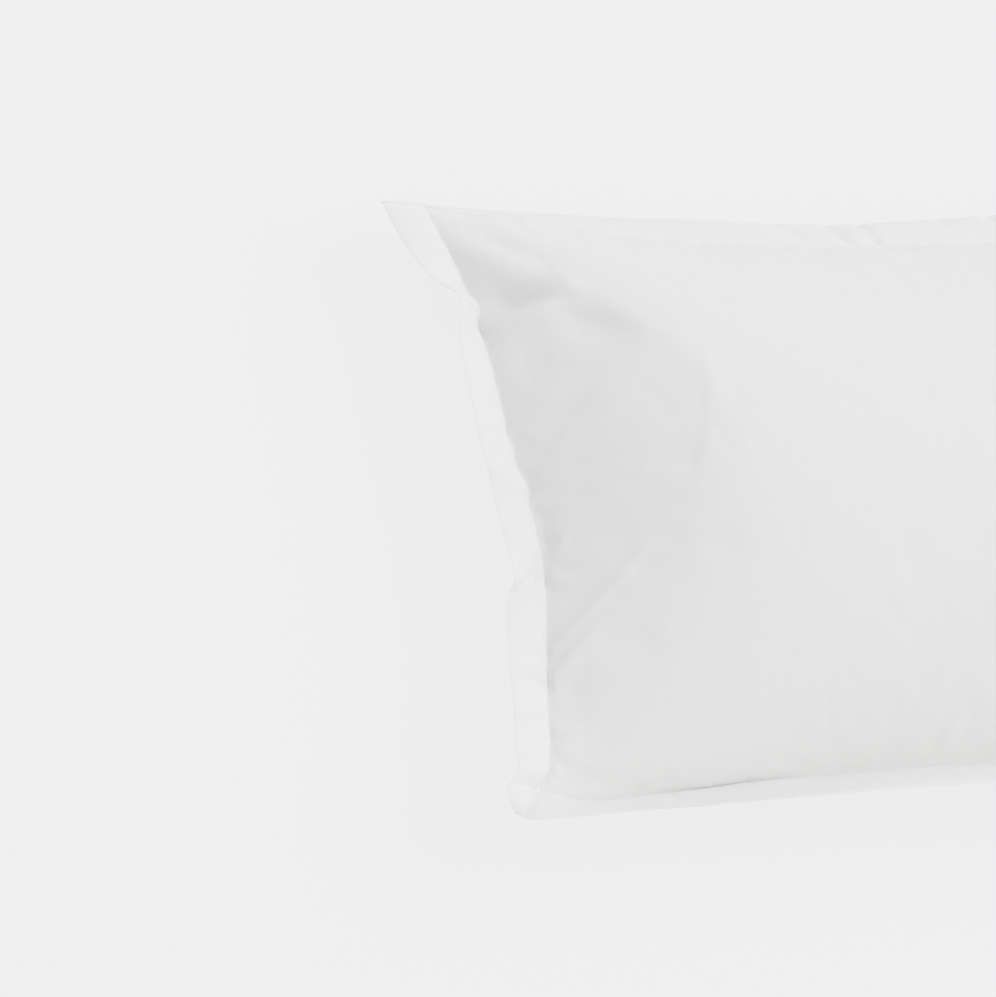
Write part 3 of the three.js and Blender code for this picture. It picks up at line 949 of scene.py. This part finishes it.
def percale_material(finish):
    """Crisp plain-woven cotton: fine over-and-under yarns, faint slubs, and a soft crumple."""
    material, tree, shader = new_material(
        "white_percale",
        {
            "Specular IOR Level": 0.25,
            "Subsurface Weight": 0.15,
            "Subsurface Radius": (1, 1, 1),
            "Subsurface Scale": 0.003,
            "Sheen Weight": 0.12,
            "Sheen Roughness": 0.55,
        },
    )
    link = tree.links.new
    place = add_node(tree, "ShaderNodeUVMap", uv_map="pattern")

    # The plain weave: warp and weft rise and dip in turn.
    turns = {"Scale": math.pi / finish.yarn_pitch}
    yarns = add_node(tree, "ShaderNodeVectorMath", turns, operation="SCALE")
    link(place.outputs["UV"], yarns.inputs[0])
    split = add_node(tree, "ShaderNodeSeparateXYZ")
    link(yarns.outputs["Vector"], split.inputs["Vector"])
    warp = add_node(tree, "ShaderNodeMath", operation="SINE")
    weft = add_node(tree, "ShaderNodeMath", operation="SINE")
    link(split.outputs["X"], warp.inputs[0])
    link(split.outputs["Y"], weft.inputs[0])
    weave = add_node(tree, "ShaderNodeMath", operation="MULTIPLY")
    link(warp.outputs["Value"], weave.inputs[0])
    link(weft.outputs["Value"], weave.inputs[1])

    # Slubs: long thin streaks along both yarn directions.
    slubs = add_node(tree, "ShaderNodeMath", operation="MULTIPLY")
    streak_noise = {"Scale": 1.0, "Detail": 2.0, "Roughness": 0.6}
    for yarn, scale in enumerate(((SLUB_ALONG, SLUB_ACROSS, 1), (SLUB_ACROSS, SLUB_ALONG, 1))):
        stretch = add_node(tree, "ShaderNodeMapping", {"Scale": scale})
        link(place.outputs["UV"], stretch.inputs["Vector"])
        streak = add_node(tree, "ShaderNodeTexNoise", streak_noise)
        link(stretch.outputs["Vector"], streak.inputs["Vector"])
        link(streak.outputs["Fac"], slubs.inputs[yarn])

    # The soft crumple of cloth that has been handled.
    crumple_noise = {"Scale": 46.0, "Detail": 3.0, "Roughness": 0.5, "Distortion": 0.3}
    crumple = add_node(tree, "ShaderNodeTexNoise", crumple_noise)
    link(place.outputs["UV"], crumple.inputs["Vector"])

    # The three reliefs, one on top of the other.
    crumpled = add_node(tree, "ShaderNodeBump", {"Strength": 0.35, "Distance": 0.0006})
    link(crumple.outputs["Fac"], crumpled.inputs["Height"])
    slubbed = add_node(tree, "ShaderNodeBump", {"Strength": 0.3, "Distance": 0.00012})
    link(slubs.outputs["Value"], slubbed.inputs["Height"])
    link(crumpled.outputs["Normal"], slubbed.inputs["Normal"])
    woven = add_node(tree, "ShaderNodeBump", {"Strength": 0.35, "Distance": 0.00005})
    link(weave.outputs["Value"], woven.inputs["Height"])
    link(slubbed.outputs["Normal"], woven.inputs["Normal"])
    link(woven.outputs["Normal"], shader.inputs["Normal"])

    # The slubs' own colour and roughness.
    colour = add_node(tree, "ShaderNodeMix", data_type="RGBA")
    colour.inputs[MIX_FIRST].default_value = (*finish.cloth_colour, 1)
    colour.inputs[MIX_SECOND].default_value = (*finish.slub_colour, 1)
    link(slubs.outputs["Value"], colour.inputs[MIX_FACTOR])
    link(colour.outputs[MIX_RESULT], shader.inputs["Base Color"])
    least = finish.cloth_roughness - SMOOTHER_BY
    most = finish.cloth_roughness + ROUGHER_BY
    rough = add_node(tree, "ShaderNodeMapRange", {"To Min": least, "To Max": most})
    link(slubs.outputs["Value"], rough.inputs["Value"])
    link(rough.outputs["Result"], shader.inputs["Roughness"])
    return material


def thread_material(finish):
    """White sewing thread with the twist of its plies."""
    colour = (*finish.thread_colour, 1)
    material, tree, shader = new_material("white_thread", {"Base Color": colour})
    link = tree.links.new
    place = add_node(tree, "ShaderNodeTexCoord")
    plies = add_node(tree, "ShaderNodeTexNoise", {"Scale": 2600.0, "Detail": 2.0, "Roughness": 0.6})
    link(place.outputs["Object"], plies.inputs["Vector"])
    bump = add_node(tree, "ShaderNodeBump", {"Strength": 0.4, "Distance": 0.00008})
    link(plies.outputs["Fac"], bump.inputs["Height"])
    link(bump.outputs["Normal"], shader.inputs["Normal"])
    rough = add_node(tree, "ShaderNodeMapRange", {"To Min": 0.5, "To Max": 0.72})
    link(plies.outputs["Fac"], rough.inputs["Value"])
    link(rough.outputs["Result"], shader.inputs["Roughness"])
    return material


def floor_material(studio):
    """A plain pale matt floor that light comes through."""
    material, _, _ = new_material(
        "pale_floor",
        {
            "Base Color": (*studio.floor_colour, 1),
            "Roughness": 0.95,
            "Specular IOR Level": 0.1,
            "Emission Color": (1, 1, 1, 1),
            "Emission Strength": studio.floor_glow,
        },
    )
    return material


class OBJECT_OT_sham_cloth(bpy.types.Operator):
    """Make the sham's two panels, swell the pocket and crease the cloth"""

    bl_idname = "object.sham_cloth"
    bl_label = "Sham cloth"

    def execute(self, context):
        sizes = context.scene.sham_sizes
        form = ShamForm(sizes)
        mesh, column, row, layer = two_layers(form.columns, form.rows)
        start = np.where((layer > 0)[:, None], form.front[row, column], form.back[row, column])
        pattern = form.pattern()[row, column]
        on_seam = form.on_seam[row, column]
        write_points(mesh, start)
        add_pattern_map(mesh, pattern, layer, sizes)
        crease_seam(mesh, on_seam)
        write_attribute(mesh, "layer", layer)
        write_attribute(mesh, "reach", form.reach[row, column])
        write_attribute(mesh, "seam", on_seam)
        write_attribute(mesh, "pattern_place", pattern)
        write_attribute(mesh, "cloth_normal", form.normal[row, column])
        piece = new_piece("sham_cloth", mesh, percale_material(context.scene.sham_finish))
        write_points(mesh, filled(piece, form, start, column, row, layer))
        fine = subdivided(piece)
        add_creases(fine, sizes)
        smooth_shaded(fine)
        sharpen_rim(fine)
        piece.data = fine
        fine.name = "sham_cloth"
        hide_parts(SOLID)
        return {"FINISHED"}


def seam_loop(mesh, sizes, side):
    """The stitch line's points and normals on one layer, in order round the pocket."""
    seam = read_attribute(mesh, "seam") > ON_SEAM
    layer = read_attribute(mesh, "layer")
    chosen = np.flatnonzero(seam & (layer * side > 0))
    pattern = read_attribute(mesh, "pattern_place", 3)[chosen]
    half_x = sizes.pocket_length / 2
    half_y = sizes.pocket_width / 2
    x, y = pattern[:, 0], pattern[:, 1]
    slip = 0.1 * MM  # within which a point counts as on a side
    walk = np.select(
        (y < slip - half_y, x > half_x - slip, y > half_y - slip),
        (x + half_x, 2 * half_x + y + half_y, 4 * half_x + 2 * half_y - (x + half_x)),
        default=4 * half_x + 4 * half_y - (y + half_y),
    )
    order = chosen[np.argsort(walk)]
    return read_points(mesh)[order], read_normals(mesh)[order]


def stitch_places(points, normals, pitch):
    """The stitches of one closed line: each one's middle, the way it runs and the way it faces."""
    closed = np.vstack((points, points[:1]))
    steps = np.linalg.norm(np.diff(closed, axis=0), axis=1)
    distance = np.concatenate(([0], np.cumsum(steps)))
    count = int(distance[-1] / pitch)
    places = (np.arange(count) + 0.5) * distance[-1] / count

    def between(values):
        ring = np.vstack((values, values[:1]))
        return np.stack([np.interp(places, distance, ring[:, axis]) for axis in range(3)], axis=1)

    middles = between(points)
    runs = np.roll(middles, -1, axis=0) - np.roll(middles, 1, axis=0)
    return zip(middles, runs, between(normals))


def stitch_mesh(sizes):
    """One stitch, lying along X."""
    bm = bmesh.new()
    bmesh.ops.create_uvsphere(bm, u_segments=STITCH_SIDES, v_segments=STITCH_RINGS, radius=0.5)
    bmesh.ops.rotate(bm, verts=bm.verts[:], matrix=Matrix.Rotation(math.pi / 2, 3, "Y"))
    size = (sizes.stitch_length, sizes.thread_width, sizes.thread_width)
    bmesh.ops.scale(bm, verts=bm.verts[:], vec=size)
    return mesh_from(bm, "stitch")


class OBJECT_OT_sham_stitching(bpy.types.Operator):
    """Sew the flange's stitch line, on the face and on the back"""

    bl_idname = "object.sham_stitching"
    bl_label = "Sham stitching"

    def execute(self, context):
        sizes = context.scene.sham_sizes
        cloth = context.scene.objects["sham_cloth"].data
        stitch = stitch_mesh(sizes)
        bm = bmesh.new()
        for side in (1, -1):
            points, normals = seam_loop(cloth, sizes, side)
            for middle, run, rise in stitch_places(points, normals, sizes.stitch_pitch):
                run = Vector(run).normalized()
                across = Vector(rise).cross(run).normalized()
                rise = run.cross(across)
                place = Matrix((run, across, rise)).transposed().to_4x4()
                place.translation = Vector(middle) + rise * sizes.thread_width * THREAD_LIFT
                stitch.transform(place)
                bm.from_mesh(stitch)
                stitch.transform(place.inverted())
        bpy.data.meshes.remove(stitch)
        mesh = mesh_from(bm, "sham_stitching")
        smooth_shaded(mesh)
        new_piece("sham_stitching", mesh, thread_material(context.scene.sham_finish))
        return {"FINISHED"}


class SCENE_OT_sham_studio(bpy.types.Operator):
    """Lay the floor, light it softly and set the camera"""

    bl_idname = "scene.sham_studio"
    bl_label = "Sham studio"

    def execute(self, context):
        scene = context.scene
        studio = scene.sham_studio
        bm = bmesh.new()
        bmesh.ops.create_grid(bm, x_segments=1, y_segments=1, size=studio.floor_size / 2)
        mesh = mesh_from(bm, "floor")
        mesh.materials.append(floor_material(studio))
        floor = bpy.data.objects.new("floor", mesh)
        scene.collection.objects.link(floor)

        world = bpy.data.worlds.new("even_light")
        world.use_nodes = True
        sky = world.node_tree.nodes["Background"]
        sky.inputs["Color"].default_value = (1, 1, 1, 1)
        sky.inputs["Strength"].default_value = studio.sky_strength
        scene.world = world

        lamp = bpy.data.lights.new("key", "AREA")
        lamp.energy = studio.key_power
        lamp.size = studio.key_size
        key = bpy.data.objects.new("key", lamp)
        key.location = studio.key_place
        key.rotation_euler = (-Vector(studio.key_place)).to_track_quat("-Z", "Y").to_euler()
        scene.collection.objects.link(key)

        yaw, tip, roll = studio.camera_yaw, studio.camera_tip, studio.camera_roll
        back = Vector((-math.sin(yaw) * math.cos(tip), -math.sin(tip), math.cos(yaw) * math.cos(tip)))
        level = Vector((0, 1, 0)).cross(back).normalized()
        upright = back.cross(level)
        right = level * math.cos(roll) + upright * math.sin(roll)
        up = upright * math.cos(roll) - level * math.sin(roll)
        lens = bpy.data.cameras.new("camera")
        lens.sensor_fit = "AUTO"
        lens.sensor_width = SENSOR_WIDTH
        lens.lens = studio.camera_lens
        camera = bpy.data.objects.new("camera", lens)
        turn = Matrix((right, up, back)).transposed().to_4x4()
        place = Vector(studio.camera_target) + back * studio.camera_distance
        camera.matrix_world = Matrix.Translation(place) @ turn
        scene.collection.objects.link(camera)
        scene.camera = camera
        scene.view_settings.view_transform = "Standard"
        return {"FINISHED"}


class VIEW3D_PT_sham(bpy.types.Panel):
    """The sham's sizes, finish and studio"""

    bl_label = "Pillow sham"
    bl_space_type = "VIEW_3D"
    bl_region_type = "UI"
    bl_category = "Sham"

    def draw(self, context):
        scene = context.scene
        for group, operators in (
            (scene.sham_sizes, ("object.sham_cloth", "object.sham_stitching")),
            (scene.sham_finish, ()),
            (scene.sham_studio, ("scene.sham_studio",)),
        ):
            box = self.layout.box()
            for name in group.__annotations__:
                box.prop(group, name)
            for operator in operators:
                box.operator(operator)


CLASSES = (
    ShamSizes,
    ShamFinish,
    ShamStudio,
    OBJECT_OT_sham_cloth,
    OBJECT_OT_sham_stitching,
    SCENE_OT_sham_studio,
    VIEW3D_PT_sham,
)


def register():
    """Adds the classes and the scene's three groups of properties."""
    for made in CLASSES:
        bpy.utils.register_class(made)
    bpy.types.Scene.sham_sizes = PointerProperty(type=ShamSizes)
    bpy.types.Scene.sham_finish = PointerProperty(type=ShamFinish)
    bpy.types.Scene.sham_studio = PointerProperty(type=ShamStudio)


def unregister():
    """Takes them away again."""
    del bpy.types.Scene.sham_studio
    del bpy.types.Scene.sham_finish
    del bpy.types.Scene.sham_sizes
    for made in reversed(CLASSES):
        bpy.utils.unregister_class(made)


def main():
    """Makes the sham and its studio."""
    register()
    bpy.ops.object.sham_cloth()
    bpy.ops.object.sham_stitching()
    bpy.ops.scene.sham_studio()


if __name__ == "__main__":
    main()
